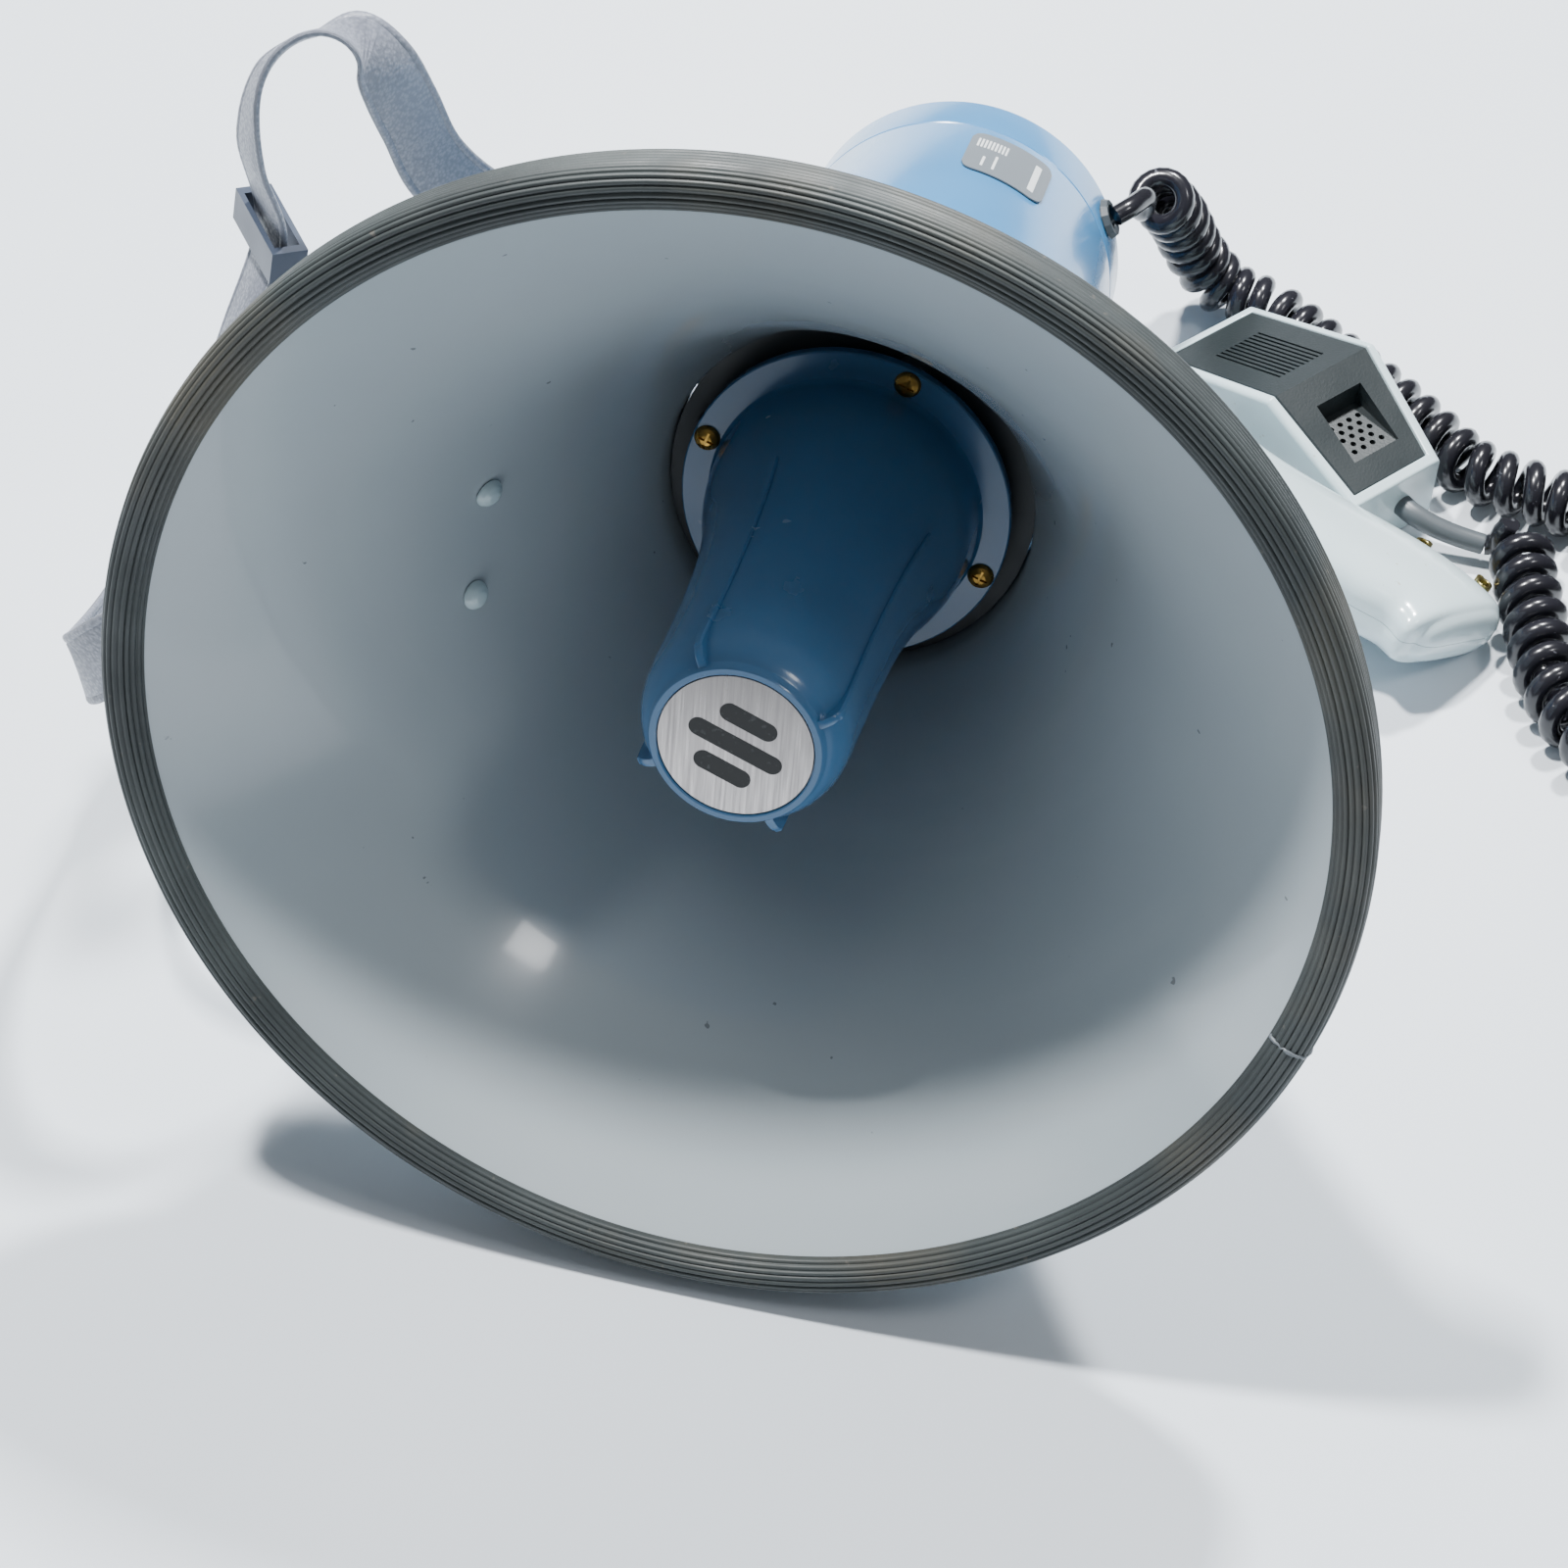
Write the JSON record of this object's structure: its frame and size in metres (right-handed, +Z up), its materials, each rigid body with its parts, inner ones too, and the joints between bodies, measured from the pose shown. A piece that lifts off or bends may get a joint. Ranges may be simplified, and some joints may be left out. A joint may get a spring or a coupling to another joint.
{
  "type": "handheld megaphone",
  "caption": "Handheld megaphone on its side: grey horn with rubber rim and blue reflector, pistol grip, shoulder strap, and a hand microphone on a curly cord.",
  "frame": {"origin": "middle of the box under the megaphone, its strap and its microphone, on the surface they lie on", "axes": "+Z up from the surface; +Y from the horn's mouth towards the rear, seen from above; +X the side that the grip points to"},
  "size_m": [0.4562, 0.4092, 0.2891],
  "materials": {
    "grey_enamel": "gloss",
    "black_rubber": "matte",
    "blue_plastic": "gloss",
    "sky_blue_plastic": "gloss",
    "white_plastic": "gloss",
    "dark_plastic": "fine texture",
    "grey_plastic": "satin",
    "brushed_aluminium": "brushed",
    "brass": "machined",
    "steel": "plated",
    "vinyl": "grained",
    "cord_black": "gloss jacket",
    "board_green": "matte",
    "cell_red": "sleeve",
    "magnet_grey": "ferrite, matte",
    "paper_cone": "phenolic, matte"
  },
  "bodies": {
    "megaphone": {"horn_bell": "grey_enamel", "rim_trim": "black_rubber", "reflector": "blue_plastic", "reflector_badge": "brushed_aluminium", "reflector_screw_1": "brass", "reflector_screw_2": "brass", "reflector_screw_3": "brass", "reflector_screw_4": "brass", "horn_base": "dark_plastic", "sound_tube": "dark_plastic", "driver_clamp_ring": "steel", "driver_front_plate": "steel", "driver_magnet": "magnet_grey", "driver_yoke": "steel", "amplifier_board": "board_green", "output_transformer": "steel", "amplifier_capacitor_1": "dark_plastic", "amplifier_capacitor_2": "dark_plastic", "battery_tray": "dark_plastic", "front_contact_plate": "steel", "rear_contact_plate": "steel", "battery_cell_1": "cell_red", "battery_cell_2": "cell_red", "battery_cell_3": "cell_red", "battery_cell_4": "cell_red", "battery_cell_5": "cell_red", "battery_cell_6": "cell_red", "battery_cell_7": "cell_red", "battery_cell_8": "cell_red", "rear_body": "sky_blue_plastic", "rear_cap": "sky_blue_plastic", "volume_control": "steel", "cord_gland": "dark_plastic", "body_label": "grey_plastic", "grip_left_shell": "white_plastic", "grip_right_shell": "white_plastic", "grip_screw_1": "steel", "grip_screw_2": "steel", "horn_strap_bracket": "steel", "horn_rivet_1": "grey_enamel", "horn_rivet_2": "grey_enamel", "rear_strap_lug": "steel", "shoulder_strap": "vinyl", "strap_slide": "dark_plastic", "cord_lead": "cord_black", "cord_coil": "cord_black", "cord_coil_mic": "cord_black"},
    "hand_microphone": {"mic_shell": "white_plastic", "mic_panel": "dark_plastic", "mic_back": "white_plastic", "mic_capsule": "steel", "talk_switch": "board_green", "mic_strain_relief": "grey_plastic"},
    "talk_button": {"talk_button": "dark_plastic"},
    "volume_knob": {"volume_knob": "dark_plastic"},
    "battery_lid": {"battery_lid": "sky_blue_plastic"},
    "wrist_bail": {"wrist_bail": "brass"},
    "diaphragm": {"driver_diaphragm": "paper_cone", "driver_voice_coil": "brass"}
  },
  "joints": [
    {"name": "mic_lift", "type": "slide", "parent": "megaphone", "child": "hand_microphone", "axis": [0, 0, 1], "range_m": [0, 0.12]},
    {"name": "talk_press", "type": "slide", "parent": "hand_microphone", "child": "talk_button", "axis": [-0.6521, -0.7581, 0], "range_m": [0, 0.0016], "stiffness_N_per_m": 900},
    {"name": "volume_turn", "type": "hinge", "parent": "megaphone", "child": "volume_knob", "pos_m": [-0.03467, 0.1675, 0.06128], "axis": [0, 0.9524, -0.3049], "range_deg": [0, 270]},
    {"name": "lid_turn", "type": "hinge", "parent": "megaphone", "child": "battery_lid", "pos_m": [0.0052, 0.1632, 0.04783], "axis": [0, 0.9524, -0.3049], "range_deg": [0, 35]},
    {"name": "bail_swing", "type": "hinge", "parent": "megaphone", "child": "wrist_bail", "pos_m": [0.1725, 0.09902, 0.01397], "axis": [0.9083, -0.353, -0.2247], "range_deg": [0, 75]},
    {"name": "diaphragm_move", "type": "slide", "parent": "megaphone", "child": "diaphragm", "axis": [0, 0.9524, -0.3049], "range_m": [-0.0004, 0.0004], "stiffness_N_per_m": 4000}
  ]
}
